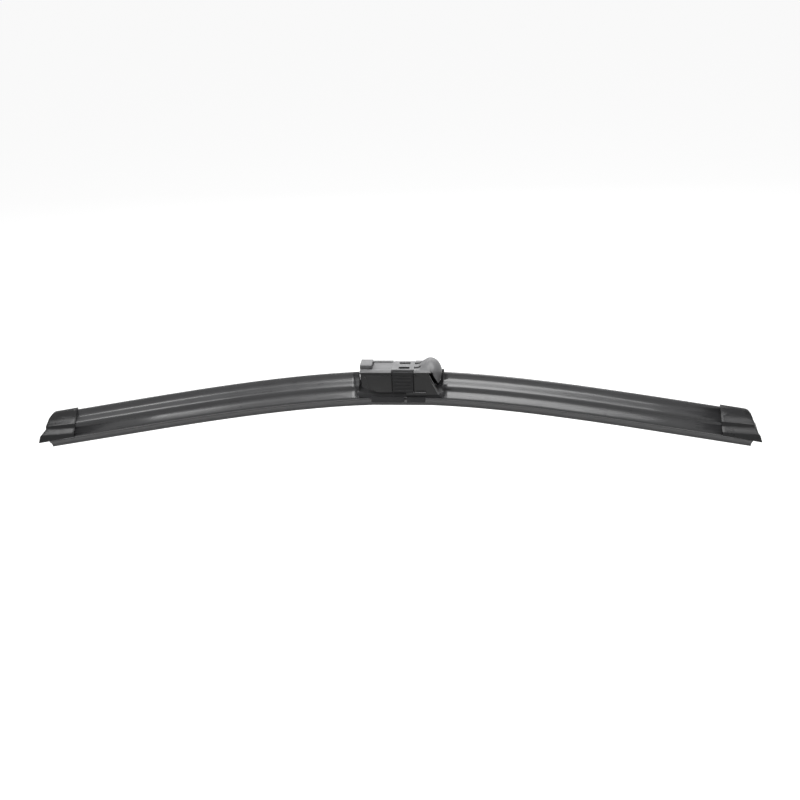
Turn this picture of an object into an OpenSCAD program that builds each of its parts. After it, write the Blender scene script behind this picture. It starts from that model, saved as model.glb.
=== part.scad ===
// Flat wiper blade with a clip-on arm adapter, in millimetres.
// The blade runs along X, the driver's view of it is from -Y, and +Z points away from the glass.
// The origin is the middle of the adapter's flat top, where the wiper arm sits.

/* [Blade] */
// Length of the blade's arm on the left of the adapter, along its curve
left_length = 257; // [200:1:320]
// Length of the blade's arm on the right of the adapter, along its curve
right_length = 239; // [180:1:320]
// Curvature of the free blade at its middle, in thousandths per millimetre
middle_curvature = 2.1; // [1:0.05:2.6]
// Straight length that the base bracket holds flat, each way
flat_half = 20; // [20:0.5:24]
// Distance from the adapter's top down to the spoiler's crest
crest_drop = 5.4; // [5.2:0.1:7]

/* [Spoiler] */
// Height from the crest down to the foot's lower edge at the front
spoiler_h = 14.1; // [13.6:0.1:14.2]
// How far the crest leans to the rear
crest_lean = 3; // [1:0.1:4]
// Thickness of the fin at its crest
fin_t = 1.2; // [0.8:0.1:2]
// Depth of the fin above the upper flute
fin_h = 4.6; // [4:0.1:5]
// How far the waist between the flutes stands out at the front
waist_front = 4.6; // [4.4:0.1:5.2]
// How far the waist stands out at the rear
waist_rear = 4.8; // [4.6:0.1:5.4]
// Depth of the waist's lower end below the crest
waist_low = 9.6; // [9:0.1:10]
// How far the front foot stands out from the middle
front_foot = 8.6; // [8:0.1:9]
// How far the rear foot stands out from the middle
rear_foot = 7.8; // [7.6:0.1:8.6]
// Where the left spoiler starts, measured from the middle
left_start = 31.8; // [31:0.1:40]
// Where the right spoiler starts, measured from the middle
right_start = 28.7; // [28.5:0.1:30]
// How much further in the left spoiler's foot reaches than its crest
left_slant = 3; // [0:0.1:3]

/* [Rails] */
// Depth of the rails' upper face below the crest
rail_depth = 14.4; // [14.3:0.05:14.6]
// Thickness of a rail
rail_t = 0.9; // [0.6:0.05:1.1]
// Width of a rail
rail_w = 3.6; // [3:0.1:3.8]
// Outer edge of a rail from the middle
rail_out = 6.2; // [6:0.05:6.3]
// How far the rails stop before the blade's ends
rail_short = 5; // [4:0.5:10]

/* [Rubber] */
// Depth of the lip's edge below the crest
lip_depth = 23; // [22:0.1:26]
// Thickness of the lip at its edge
lip_t = 0.8; // [0.5:0.05:1.2]
// Width of the rubber's head
head_w = 8.4; // [7:0.1:8.6]
// Height of the rubber's head above the rails
head_h = 1.1; // [0.6:0.05:1.1]
// Thickness of the rubber's web between the rails
web_t = 2.4; // [1.6:0.1:4]
// Width of the rubber's flange under the rails
flange_w = 7.2; // [6:0.1:7.6]
// Thickness of the neck on which the lip tips over
neck_t = 1.3; // [0.8:0.05:2]
// Width of the rubber's body at its shoulder
shoulder_w = 5.8; // [4:0.1:6]

/* [End caps] */
// Length of an end cap at half its height
cap_length = 27.5; // [24:0.5:34]
// How much further in the cap's roof reaches than its skirt
seam_slant = 3.3; // [0:0.1:5]
// How far the cap's upper body stops before the skirt's tip
cap_step = 8; // [5:0.25:11]
// Rounding of the roof at the cap's tip
cap_round = 7; // [3:0.25:9]
// How far the cap stands out from the spoiler
cap_proud = 0.7; // [0.4:0.05:1.2]
// How far the cap's roof stands above the spoiler's crest
cap_rise = 1.3; // [0.5:0.05:2]
// Thickness of the cap's closed tip
cap_tip_t = 4; // [3.5:0.1:5]

/* [Adapter] */
// Width of the adapter over its rims
adapter_w = 19.6; // [19.2:0.1:22]
// Left end of the adapter's top
adapter_left = 26; // [24:0.1:26.4]
// Right end of the adapter's top rims
adapter_right = 20.3; // [19.6:0.1:21]
// Right end of the adapter's sides under the rim
wall_right = 18.7; // [17.5:0.1:19.2]
// Right end of the adapter's sides at the bottom
wall_right_low = 25.9; // [24:0.1:26]
// Height of the adapter's sides at the right
adapter_h = 16.8; // [16:0.1:16.8]
// Height of the adapter's sides at the left
left_wall_h = 15.3; // [14.6:0.1:15.8]
// Width of the bevels on the sides' slanted ends
edge_bevel = 0.9; // [0.4:0.05:1.2]
// Thickness of the adapter's top
top_t = 1.9; // [1.6:0.1:2]
// How far the rim stands out over the side walls
rim_out = 0.5; // [0.3:0.05:0.7]
// Thickness of the adapter's side walls
side_t = 1; // [0.8:0.05:1.1]
// Height of the thumb block above the top
block_h = 2.1; // [1:0.1:2.4]
// Length of the thumb block
block_l = 7.7; // [6:0.1:9]
// How much narrower the thumb block is than the tongue, each side
block_inset = 0.7; // [0.3:0.1:1.2]
// Width of the top's strips beside the tongue's slits
edge_strip = 3; // [2.8:0.1:3.2]
// Bevel along the rims
rim_bevel = 1.1; // [0.5:0.05:1.2]
// Width of the slits beside the tongue
slit_w = 0.8; // [0.5:0.05:1.2]
// Where the tongue leaves the top
tongue_root = -5.5; // [-8:0.1:-5]
// Length of the two long slots
slot_long = 7.2; // [5:0.1:8]
// Length of the two short slots
slot_short = 4.5; // [3:0.1:4.8]
// Width of the slots
slot_w = 3.2; // [2:0.1:3.4]
// Distance of the slots from the adapter's edge
slot_edge = 4.1; // [3.8:0.1:4.4]

/* [Nose] */
// Height of the dome above the adapter's top
dome_h = 4.9; // [4:0.1:5.6]
// Where the dome starts to rise from the top
dome_start = 9.8; // [8:0.1:10.5]
// Where the nose's shell starts under the top
shell_start = 11; // [10:0.1:12.5]
// Where the dome is highest
dome_x = 19.5; // [18.5:0.1:20]
// Depth of the nose's foremost point below the top
tip_drop = 4.2; // [3.6:0.1:4.8]
// Where the nose's lower end starts to round upwards
chin_x = 24; // [23:0.1:24.6]
// Thickness of the nose's shell
nose_t = 1.4; // [1:0.1:1.6]
// Lower end of the nose's shell
nose_low = 10; // [9:0.1:10.4]
// Width of the slanted gap between a side wall and the nose
nose_gap = 2.7; // [2.6:0.05:3.2]

/* [Pivot] */
// Pivot's distance to the right of the origin
pivot_x = 2; // [1:0.1:3]
// Pivot's depth below the adapter's top
pivot_drop = 8.6; // [8.4:0.1:9.4]
// Diameter of the pivot pin
pin_d = 4.9; // [4:0.1:5]
// Diameter of the pin's heads
pin_head_d = 6.4; // [6:0.1:7]
// Thickness of the pin's heads
pin_head_t = 0.7; // [0.5:0.05:0.8]
// Wall of the bush
bush_t = 0.6; // [0.5:0.05:0.8]
// Radial play of the pin in the bush
pivot_play = 0.05; // [0.02:0.01:0.1]
// Outer radius of the adapter's barrel
barrel_r = 4.2; // [4:0.05:4.4]
// Room between the pin's heads and a pressed button
pin_room = 0.7; // [0.5:0.05:0.8]

/* [Bracket and cover] */
// Thickness of the bracket's steel
steel_t = 1.2; // [1:0.05:1.2]
// Radius of the ears' tops
ear_r = 3.9; // [3.6:0.1:3.9]
// Length of the bracket's left half
bracket_left = 19; // [18.5:0.1:19.3]
// Length of the bracket's right half
bracket_right = 16; // [15.5:0.1:16.5]
// Length of one claw
claw_l = 8; // [5:0.1:9]
// Thickness of the claws
claw_t = 0.8; // [0.6:0.05:0.8]
// Thickness of the cover's plastic
cover_t = 0.8; // [0.6:0.05:0.8]
// Lower edge of the cover's skirts below the crest
skirt_depth = 17.6; // [17.4:0.1:19]
// Gap between the two skirts
skirt_gap = 1.8; // [1:0.1:3]
// Where the gap between the skirts is
skirt_gap_x = 3.3; // [2:0.1:5]

/* [Buttons] */
// Left end of the button's window
window_left = -5.35; // [-5.6:0.05:-5]
// Right end of the button's window
window_right = 9.45; // [9:0.05:9.8]
// Lower end of the button's window
window_low = 15.3; // [14:0.1:15.4]
// Play of the button in its window
button_play = 0.15; // [0.1:0.01:0.2]
// Gap beside the button's ends
button_gap = 0.6; // [0.3:0.05:0.8]
// Travel of a button
button_travel = 1.5; // [1:0.1:1.5]
// Outer diameter of the button springs
spring_d = 2.2; // [2:0.1:2.3]
// Diameter of the spring wire
wire_d = 0.35; // [0.25:0.05:0.4]
// Turns of a button spring
spring_turns = 6; // [4:1:8]

/* [Hidden] */
$fn = 48;
eps = 0.01;
// clearance of still pieces beside each other in the blade
side_play = 0.1;
skirt_step = 0.5;
stop_t = 0.9;
// clearance between the adapter and the blade that rocks under it
rock_play = 0.3;
fit_play = 0.02;
bridge_t = 0.8;
bridge_inset = 5;
bridge_from_end = rail_short + bridge_inset;
steel_hook = 0.8;
closing_left_t = 3.7;
closing_right_t = 0.6;
cover_left = left_start - closing_left_t;
cover_right = right_start - closing_right_t;
closing_play = 0.2;
nose_end = pivot_x + sqrt(pow(cover_right - pivot_x - rock_play, 2) - pow(pivot_drop - tip_drop, 2)) - 0.3;
brow_drop = rim_bevel - rim_out + 0.1;
groove_low = 3.6;
rib_h = 0.4;
rib_top = 4.4;
rib_low = 11.8;
arch_points = 16;
nose_rings = 16;
foot_rings = 5;
slot_clear = 3.5;
// lower left corner of a side wall, from its left end and its lower edge
corner_cut = [[11.2, 0], [5.1, 2.7], [1.4, 3.5]];
spring_z = -3.3;
pocket_l = 1.8;
slot_x = -0.9;
flange_t = 0.7;
seam_play = 0.05;
ear_play = 0.2;
grip_h = 0.2;
button_lip = 1;
tongue_drop = 0.4;
ledge_end = 17;
ledge_slot = 10.2;
ledge_slot_low = 13.8;
cap_steps = 10;

// curve of the blade: facets of equal length beyond the straight middle
facets = 18;
crest_z = -crest_drop;
left_step = (left_length - flat_half) / facets;
right_step = (right_length - flat_half) / facets;
// slope in degrees of the free blade at s along its curve
function slope(s) = let(whole = s < 0 ? left_length : right_length)
    sign(s) * middle_curvature / 1000 * whole / 3 * (1 - pow(1 - abs(s) / whole, 3)) * 180 / PI;
stations = [for (i = [-facets:1:facets + 1])
    i <= 0 ? -flat_half + i * left_step : flat_half + (i - 1) * right_step];
last = len(stations) - 1;
mid = facets;
facet_slope = [for (i = [0:last - 1]) i == mid ? 0 : slope((stations[i] + stations[i + 1]) / 2)];
// crest points to the right and to the left of the straight middle, walked outwards
right_walk = [for (i = mid + 1, p = [flat_half, crest_z]; i <= last;
    p = i < last ? p + (stations[i + 1] - stations[i]) * [cos(facet_slope[i]), -sin(facet_slope[i])] : p,
    i = i + 1) p];
left_walk = [for (i = mid, p = [-flat_half, crest_z]; i >= 0;
    p = i > 0 ? p - (stations[i] - stations[i - 1]) * [cos(facet_slope[i - 1]), -sin(facet_slope[i - 1])] : p,
    i = i - 1) p];
crest = [for (i = [0:last]) i <= mid ? left_walk[mid - i] : right_walk[i - mid - 1]];
ring_slope = [for (i = [0:last]) i == 0 ? facet_slope[0] : i == last ? facet_slope[last - 1]
    : (facet_slope[i - 1] + facet_slope[i]) / 2];
ring_scale = [for (i = [0:last]) i == 0 || i == last ? 1
    : 1 / cos((facet_slope[i] - facet_slope[i - 1]) / 2)];
function ring_point(i, y, n) = [crest[i].x + n * ring_scale[i] * sin(ring_slope[i]), y,
    crest[i].y + n * ring_scale[i] * cos(ring_slope[i])];
function span_of(s, i = 0) = i >= last - 1 || s <= stations[i + 1] ? i : span_of(s, i + 1);
// point of the blade at s along the curve, y across it and n above the crest
function at(s, y, n) = let(i = span_of(s), f = (s - stations[i]) / (stations[i + 1] - stations[i]))
    ring_point(i, y, n) * (1 - f) + ring_point(i + 1, y, n) * f;
// positions of the rings from a to b, with the curve's own stations between them
function rings(a, b) = concat([a], [for (s = stations) if (s > a + 0.5 && s < b - 0.5) s], [b]);

function total(v, i = 0) = i == len(v) ? 0 : v[i] + total(v, i + 1);
// twice the area of an outline, to find its direction
function turning(p) = total([for (i = [0:len(p) - 1]) let(q = p[(i + 1) % len(p)])
    p[i].x * q.y - q.x * p[i].y]);
function cross2(a, b, c) = (b.x - a.x) * (c.y - a.y) - (b.y - a.y) * (c.x - a.x);
function holds(a, b, c, p) = cross2(a, b, p) >= 0 && cross2(b, c, p) >= 0 && cross2(c, a, p) >= 0;
// index list without its entry k
function drop(v, k) = [for (i = [0:len(v) - 1]) if (i != k) v[i]];
function is_ear(p, v, k) = let(m = len(v), a = p[v[(k + m - 1) % m]], b = p[v[k]], c = p[v[(k + 1) % m]])
    cross2(a, b, c) > 1e-9 && len([for (j = [0:m - 1])
        if (j != k && j != (k + 1) % m && j != (k + m - 1) % m && holds(a, b, c, p[v[j]])) 1]) == 0;
function first_ear(p, v, k = 0) = k >= len(v) - 1 || is_ear(p, v, k) ? k : first_ear(p, v, k + 1);
// triangles of a simple outline that turns to the left
function cut_ears(p, v) = len(v) == 3 ? [v] : let(m = len(v), k = first_ear(p, v))
    concat([[v[(k + m - 1) % m], v[k], v[(k + 1) % m]]], cut_ears(p, drop(v, k)));

// solid between rings of points that all have the same outline order
module skin(points, outline) {
    m = len(outline);
    r = len(points);
    ears = cut_ears(outline, [for (i = [0:m - 1]) i]);
    sides = [for (k = [0:r - 2]) for (i = [0:m - 1]) let(a = k * m + i, b = k * m + (i + 1) % m)
        each [[a, b, b + m], [a, b + m, a + m]]];
    first = [for (t = ears) t];
    final = [for (t = ears) [t[2] + (r - 1) * m, t[1] + (r - 1) * m, t[0] + (r - 1) * m]];
    polyhedron(points = [for (ring = points) each ring], faces = concat(first, final,
        [for (t = sides) [t[2], t[1], t[0]]]), convexity = 6);
}

// outline in y and n, swept along the blade from a to b, its ends slanted by sa and sb per mm of depth
module sweep(outline, a, b, sa = 0, sb = 0) {
    p = turning(outline) > 0 ? outline : [for (i = [len(outline) - 1:-1:0]) outline[i]];
    s = rings(a, b);
    r = len(s) - 1;
    skin([for (k = [0:r]) [for (q = p)
        at(s[k] + (k == 0 ? -sa * q.y : k == r ? -sb * q.y : 0), q.x, q.y)]], p);
}

// levels below the crest
rail_low = rail_depth + rail_t;
claw_low = rail_low + 0.9;
rail_in = rail_out - rail_w;
foot_low = claw_low;
claw_in = flange_w / 2 + 0.5;
lip_out = adapter_w / 2 - rim_out - side_t - rock_play;

// outer outline of the spoiler, down the front and up the rear
shelf = waist_front - 0.8;
flare = front_foot - waist_front;
drop = spoiler_h - waist_low;
front_side = [
    [crest_lean - fin_t / 2, -0.35],
    [crest_lean - fin_t / 2 - 0.4, -fin_h * 0.35],
    [crest_lean - fin_t / 2 - 0.9, -fin_h * 0.65],
    [crest_lean - fin_t / 2 - 1.6, -fin_h * 0.9],
    [crest_lean - fin_t / 2 - 2.3, -fin_h - 0.1],
    [-shelf * 0.25, -fin_h - 0.65],
    [-shelf * 0.68, -fin_h - 1.45],
    [-shelf, -fin_h - 2.15],
    [-waist_front + 0.25, -fin_h - 2.85],
    [-waist_front, -fin_h - 3.8],
    [-waist_front, -waist_low + 0.3],
    [-waist_front - 0.15, -waist_low - 0.3],
    [-waist_front - flare * 0.14, -waist_low - drop * 0.22],
    [-waist_front - flare * 0.36, -waist_low - drop * 0.42],
    [-waist_front - flare * 0.66, -waist_low - drop * 0.66],
    [-waist_front - flare * 0.9, -waist_low - drop * 0.85],
    [-front_foot, -spoiler_h]];
rear_side = [
    [rear_foot, -spoiler_h],
    [waist_rear + (rear_foot - waist_rear) * 0.75, -waist_low - (spoiler_h - waist_low) * 0.8],
    [waist_rear + (rear_foot - waist_rear) * 0.42, -waist_low - (spoiler_h - waist_low) * 0.5],
    [waist_rear + (rear_foot - waist_rear) * 0.16, -waist_low - (spoiler_h - waist_low) * 0.2],
    [waist_rear, -waist_low + 0.8],
    [waist_rear - 0.1, -fin_h - 2.6],
    [crest_lean + fin_t / 2 + 0.9, -fin_h],
    [crest_lean + fin_t / 2 + 0.6, -fin_h * 0.6],
    [crest_lean + fin_t / 2 + 0.3, -fin_h * 0.3],
    [crest_lean + fin_t / 2, -0.35]];
crest_top = [[crest_lean + 0.25, 0], [crest_lean - 0.25, 0]];
front_low = [[-front_foot, -spoiler_h - 0.8], [-front_foot + 0.4, -spoiler_h - 1.15],
    [-rail_out - 1.2, -spoiler_h - 1.2], [-rail_out - 1.1, -foot_low + 0.3], [-rail_out - 0.8, -foot_low]];
rear_low = [[rail_out + 0.8, -foot_low], [rail_out + 1.1, -foot_low + 0.3],
    [rail_out + 1.2, -spoiler_h - 1.2], [rear_foot - 0.2, -spoiler_h - 1.15], [rear_foot, -spoiler_h - 0.8]];
// room for the rubber's head and the rails, from the front round to the rear
head_room = head_w / 2 + 0.2;
channel = [
    [-claw_in, -foot_low],
    [-claw_in, -rail_low],
    [-rail_out - side_play, -rail_low],
    [-rail_out - side_play, -rail_depth],
    [-head_room, -rail_depth],
    [-head_room, -rail_depth + head_h + side_play],
    [head_room, -rail_depth + head_h + side_play],
    [head_room, -rail_depth],
    [rail_out + side_play, -rail_depth],
    [rail_out + side_play, -rail_low],
    [claw_in, -rail_low],
    [claw_in, -foot_low]];
spoiler_outline = concat(rear_low, rear_side, crest_top, front_side, front_low, channel);

// lip of the foot on one side, below the cover and inside the side walls
foot_lip = [
    [claw_in, -foot_low],
    [rail_out + 0.8, -foot_low],
    [rail_out + 1.1, -foot_low + 0.3],
    [rail_out + 1.2, -spoiler_h - 1.2],
    [lip_out - 0.4, -spoiler_h - 1.15],
    [lip_out, -spoiler_h - 0.8],
    [lip_out, -spoiler_h - 0.1],
    [rail_out + side_play, -spoiler_h - 0.1],
    [rail_out + side_play, -rail_low],
    [claw_in, -rail_low]];

rubber_half = [
    [lip_t / 2, -lip_depth],
    [lip_t / 2 + 0.05, -lip_depth + 1.6],
    [lip_t / 2 + 0.8, -lip_depth + 2.8],
    [shoulder_w / 2, -foot_low - 2.1],
    [shoulder_w / 2, -foot_low - 1.3],
    [shoulder_w / 2 - 0.5, -foot_low - 0.9],
    [neck_t / 2, -foot_low - 0.7],
    [neck_t / 2, -foot_low + 0.1],
    [flange_w / 2, -foot_low + 0.1],
    [flange_w / 2, -rail_low],
    [web_t / 2, -rail_low],
    [web_t / 2, -rail_depth],
    [head_w / 2, -rail_depth],
    [head_w / 2, -rail_depth + head_h]];
function mirrored(p) = [for (i = [len(p) - 1:-1:0]) [-p[i].x, p[i].y]];
rubber_outline = concat(rubber_half, mirrored(rubber_half));

// seams of the caps at the crest, and their slant per mm of depth
cap_mid = spoiler_h / 2;
seam_lean = seam_slant / spoiler_h;
left_cap = -left_length + cap_length + seam_lean * cap_mid;
right_cap = right_length - cap_length - seam_lean * cap_mid;

module rail(side) {
    sweep([[side * rail_in, -rail_low], [side * rail_out, -rail_low],
        [side * rail_out, -rail_depth], [side * rail_in, -rail_depth]],
        -left_length + rail_short, right_length - rail_short);
}

module rail_front() {
    color("dimgray") rail(-1);
}

module rail_rear() {
    color("dimgray") rail(1);
}

module wiping_rubber() {
    color([0.36, 0.36, 0.37])
        sweep(rubber_outline, -left_length + rail_short - 1, right_length - rail_short + 1);
}

// lips of the spoiler's foot that run on along the rails, under the base cover
module foot_lips(x0, x1) {
    for (side = [-1, 1]) sweep([for (q = foot_lip) [side * q.x, q.y]], x0, x1);
}

module spoiler_left() {
    color([0.27, 0.27, 0.28]) {
        sweep(spoiler_outline, left_cap + seam_play, -left_start, -seam_lean, left_slant / spoiler_h);
        foot_lips(-left_start - 1, -bracket_left - 0.7);
    }
}

module spoiler_right() {
    color([0.27, 0.27, 0.28]) {
        sweep(spoiler_outline, right_start, right_cap - seam_play, 0, seam_lean);
        foot_lips(bracket_right + 0.6, right_start + eps);
    }
}

// levels of the straight middle
rail_top_z = crest_z - rail_depth;
rail_low_z = crest_z - rail_low;
plate_low_z = rail_top_z + head_h + side_play;
plate_top_z = plate_low_z + steel_t;
cover_top_z = plate_top_z + cover_t;
pivot_z = -pivot_drop;
wall_out = adapter_w / 2 - rim_out;
wall_in = wall_out - side_t;
panel_t = side_t / 2;
button_inner = wall_in - side_play - flange_t;
barrel_half = button_inner - button_travel - pin_room - pin_head_t - steel_t - ear_play;
tongue_w = adapter_w - 2 * (edge_strip + slit_w);
block_w = tongue_w - 2 * block_inset;
slot_y = adapter_w / 2 - slot_edge - slot_w / 2;
edge_slant = (wall_right_low - wall_right) / (adapter_h - top_t);
bush_d = pin_d + 2 * pivot_play + 2 * bush_t;
ear_in = barrel_half + ear_play;
ear_out = ear_in + steel_t;
claw_out = rail_out + side_play + claw_t;
skirt_in = claw_out + side_play;
skirt_out = skirt_in + cover_t - 0.2;
notch_in = adapter_w / 2 - button_lip - button_travel - 0.1;

// box from its corners
module span(a, b) {
    translate(a) cube(b - a);
}

// cylinder across the blade, on the pivot's axis, between two values of y
module across(r, y0, y1) {
    translate([pivot_x, y1, pivot_z]) rotate([90, 0, 0]) cylinder(r = r, h = y1 - y0);
}

// outline in x and z, as a plate between two values of y
module plate_xz(p, y0, y1) {
    translate([0, y1, 0]) rotate([90, 0, 0]) linear_extrude(height = y1 - y0) polygon(p);
}

// small steel piece over both rails, at s along the blade
module rail_bridge(s) {
    i = span_of(s);
    f = (s - stations[i]) / (stations[i + 1] - stations[i]);
    c = crest[i] * (1 - f) + crest[i + 1] * f;
    top = -rail_depth + head_h + side_play;
    translate([c.x, 0, c.y]) rotate([0, facet_slope[i], 0]) {
        span([-2, -rail_out, top], [2, rail_out, top + bridge_t]);
        for (side = [-1, 1])
            span([-2, side > 0 ? head_w / 2 + side_play : -rail_out, -rail_depth],
                [2, side > 0 ? rail_out : -head_w / 2 - side_play, top + bridge_t]);
    }
}

module rail_bridge_left() {
    color("gray") rail_bridge(-left_length + bridge_from_end);
}

module rail_bridge_right() {
    color("gray") rail_bridge(right_length - bridge_from_end);
}

// one ring of the cap's outer outline, t from 0 at the seam to 1 at the tip
function cap_ring(t) = let(
    g = cap_proud,
    wide = 0.9 * t,
    crease = waist_low + 0.5 - 2.9 * t,
    roof = crest_lean - fin_t / 2 - g - 0.5 * t)
    [[rail_out + 1.1 + g, -foot_low + 0.5],
    [rear_foot + g + wide * 0.8, -spoiler_h - 1.1],
    [rear_foot + g * 0.9 + wide, -crease - 3.2],
    [rear_foot * 0.92 + g + wide * 0.6, -crease - 2.3],
    [waist_rear + g * 1.6 + 0.5 * t, -crease - 0.4],
    [waist_rear + g * 1.2, -crease + 0.8],
    [waist_rear + g * 1.2, -fin_h - 1.2 + 0.4 * t],
    [crest_lean + fin_t / 2 + g * 1.8 + 0.4 * t, -fin_h * 0.45],
    [crest_lean + fin_t / 2 + g * 1.2 + 0.3 * t, cap_rise - 1.1],
    [crest_lean + fin_t / 2 + g * 0.6, cap_rise - 0.2],
    [crest_lean, cap_rise],
    [roof + 0.3, cap_rise - 0.3],
    [roof - 0.4, cap_rise - 1.2],
    [roof - 1.7, -fin_h * 0.4],
    [roof - 3.3, -fin_h * 0.85],
    [-waist_front - g * 0.4 + 0.9, -fin_h - 1.3 + 1.1 * t],
    [-waist_front - g + 0.15, -fin_h - 2.2 + 1.3 * t],
    [-waist_front - g, -crease + 1.1],
    [-waist_front - g - 0.1 * t, -crease + 0.4],
    [-waist_front - g - 0.6, -crease - 0.2],
    [-waist_front - g - flare * 0.5, -crease - 1.3],
    [-waist_front - g - flare * 0.85 - wide * 0.6, -crease - 2.3],
    [-front_foot - g * 0.8 - wide * 0.9, -crease - 3.2],
    [-front_foot - g - wide, -spoiler_h - 0.7],
    [-front_foot - g * 0.4, -spoiler_h - 1.1],
    [-rail_out - 1.1 - g, -foot_low + 0.5]];

// how far short of the skirt's tip the cap ends at depth n
function cap_short(n) = let(skirt = spoiler_h, neck = waist_low - 2)
    n < -neck ? cap_step * 0.75 * pow(max(0, skirt - 0.6 + n) / (skirt - 0.6 - neck), 1.5)
    : let(u = (n + neck) / (neck + cap_rise))
        cap_step * (0.75 + 0.25 * u) + cap_round * (1 - sqrt(1 - pow(u, 3) * 0.98));

// end cap: dir is -1 for the left end and 1 for the right end
module end_cap(dir) {
    seam = dir < 0 ? left_cap : right_cap;
    tip = dir < 0 ? -left_length : right_length;
    t = [for (k = [0:cap_steps]) k / cap_steps];
    shape = cap_ring(0);
    flip = turning(shape) * dir < 0;
    m = len(shape);
    points = [for (u = t) let(ring = cap_ring(u))
        [for (i = [0:m - 1]) let(q = flip ? ring[m - 1 - i] : ring[i],
            from = seam - dir * seam_lean * q.y, to = tip - dir * cap_short(q.y))
            at(from + u * (to - from), q.x, q.y)]];
    outline = [for (i = [0:m - 1]) let(q = flip ? shape[m - 1 - i] : shape[i]) [q.x * dir, q.y]];
    difference() {
        skin(points, outline);
        if (dir < 0)
            sweep(cap_room, tip + cap_tip_t, seam + 1);
        else
            sweep(cap_room, seam - 1, tip - cap_tip_t);
        if (dir < 0)
            sweep(cap_slot, tip - 3, seam + 1);
        else
            sweep(cap_slot, seam - 1, tip + 3);
    }
}
bridge_room = -rail_depth + head_h + bridge_t + 0.3;
cap_room = [
    [-claw_in, -foot_low - 6],
    [-claw_in, -rail_low],
    [-rail_out - side_play, -rail_low],
    [-rail_out - side_play, bridge_room],
    [rail_out + side_play, bridge_room],
    [rail_out + side_play, -rail_low],
    [claw_in, -rail_low],
    [claw_in, -foot_low - 6]];
cap_slot = [
    [-1.6, -foot_low - 6],
    [-1.6, -rail_depth + head_h],
    [1.6, -rail_depth + head_h],
    [1.6, -foot_low - 6]];

module end_cap_left() {
    color([0.2, 0.2, 0.21]) end_cap(-1);
}

module end_cap_right() {
    color([0.2, 0.2, 0.21]) end_cap(1);
}

// steel claws that grip one rail each; x0 is the claw's left end
module claw(x0, side) {
    y = [claw_in - 0.2, rail_out + side_play, claw_out];
    a = side > 0 ? y[1] : -y[2];
    b = side > 0 ? y[2] : -y[1];
    span([x0, a, rail_low_z - steel_hook], [x0 + claw_l, b, plate_low_z + 0.1]);
    span([x0, side > 0 ? y[0] : -y[1] - eps, rail_low_z - steel_hook],
        [x0 + claw_l, side > 0 ? y[1] + eps : -y[0], rail_low_z]);
}

module base_bracket() {
    color([0.3, 0.3, 0.31]) difference() {
        union() {
            span([-bracket_left, -claw_out, plate_low_z], [bracket_right, claw_out, plate_top_z]);
            for (side = [-1, 1]) {
                span([-bracket_left, side > 0 ? head_room : -claw_out, rail_top_z],
                    [bracket_right, side > 0 ? claw_out : -head_room, plate_top_z]);
                claw(-bracket_left + 1, side);
                claw(bracket_right - claw_l - 1, side);
                ear(side > 0 ? ear_in : -ear_out);
            }
        }
        across(pin_d / 2 + fit_play, -ear_out - 1, ear_out + 1);
    }
}

module ear(y0) {
    across(ear_r, y0, y0 + steel_t);
    span([pivot_x - ear_r, y0, plate_low_z + 0.2], [pivot_x + ear_r, y0 + steel_t, pivot_z]);
}

module pivot_pin() {
    color("silver") {
        across(pin_d / 2, -ear_out - eps, ear_out + eps);
        across(pin_head_d / 2, ear_out, ear_out + pin_head_t);
        across(pin_head_d / 2, -ear_out - pin_head_t, -ear_out);
    }
}

module pivot_bush() {
    color("ivory") difference() {
        across(bush_d / 2, -barrel_half, barrel_half);
        across(bush_d / 2 - bush_t, -barrel_half - 1, barrel_half + 1);
    }
}

// closing plates between the adapter and the spoilers
closing_outline = concat(rear_side, crest_top, front_side, [
    [-head_room, -spoiler_h], [-head_room, -rail_depth + head_h + closing_play],
    [head_room, -rail_depth + head_h + closing_play], [head_room, -spoiler_h]]);

module base_cover() {
    color([0.16, 0.16, 0.17]) {
        difference() {
            union() {
                span([-cover_left, -skirt_out, plate_top_z], [cover_right, skirt_out, cover_top_z]);
                for (side = [-1, 1]) {
                    span([-cover_left, side > 0 ? skirt_in : -skirt_out, rail_top_z + 0.4],
                        [cover_right, side > 0 ? skirt_out : -skirt_in, cover_top_z]);
                    skirt(-bracket_left - 0.4, skirt_gap_x - skirt_gap / 2, side);
                    skirt(skirt_gap_x + skirt_gap / 2, bracket_right + 0.3, side);
                }
                rear_stops(skirt_out - stop_t);
            }
            span([pivot_x - ear_r - 1, -ear_out - 1.2, plate_top_z - 1],
                [pivot_x + ear_r + 1, ear_out + 1.2, cover_top_z + 1]);
        }
        sweep(closing_outline, -left_start + seam_play, -cover_left, left_slant / spoiler_h, 0);
        sweep(closing_outline, cover_right, right_start - seam_play);
    }
}

// upright stops at both ends of the cover's rear, clear of the nose and the top as the adapter rocks
module rear_stops(y0) {
    base = cover_top_z - 0.1;
    high = crest_z - 0.3;
    plate_xz([[cover_right - 5.6, base], [cover_right - 5.6, pivot_z - 5], [cover_right - 2.5, pivot_z - 4.8],
        [cover_right - 2.5, pivot_z - 1.9], [cover_right - 1.9, pivot_z - 0.9], [cover_right - 1.9, high],
        [cover_right, high], [cover_right, base]], y0, y0 + stop_t);
    plate_xz([[-cover_left, base], [-cover_left, high - 0.7], [-cover_left + 2.4, high - 0.7],
        [-cover_left + 4, base]], y0, y0 + stop_t);
}

module skirt(x0, x1, side) {
    low = crest_z - skirt_depth;
    out = skirt_out + skirt_step;
    span([x0, side > 0 ? skirt_in : -out, low], [x1, side > 0 ? out : -skirt_in, rail_top_z + 0.9]);
    span([x0, side > 0 ? skirt_in - 1 : -skirt_in - eps, low],
        [x1, side > 0 ? skirt_in + eps : -skirt_in + 1, low + 0.9]);
}

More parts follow.
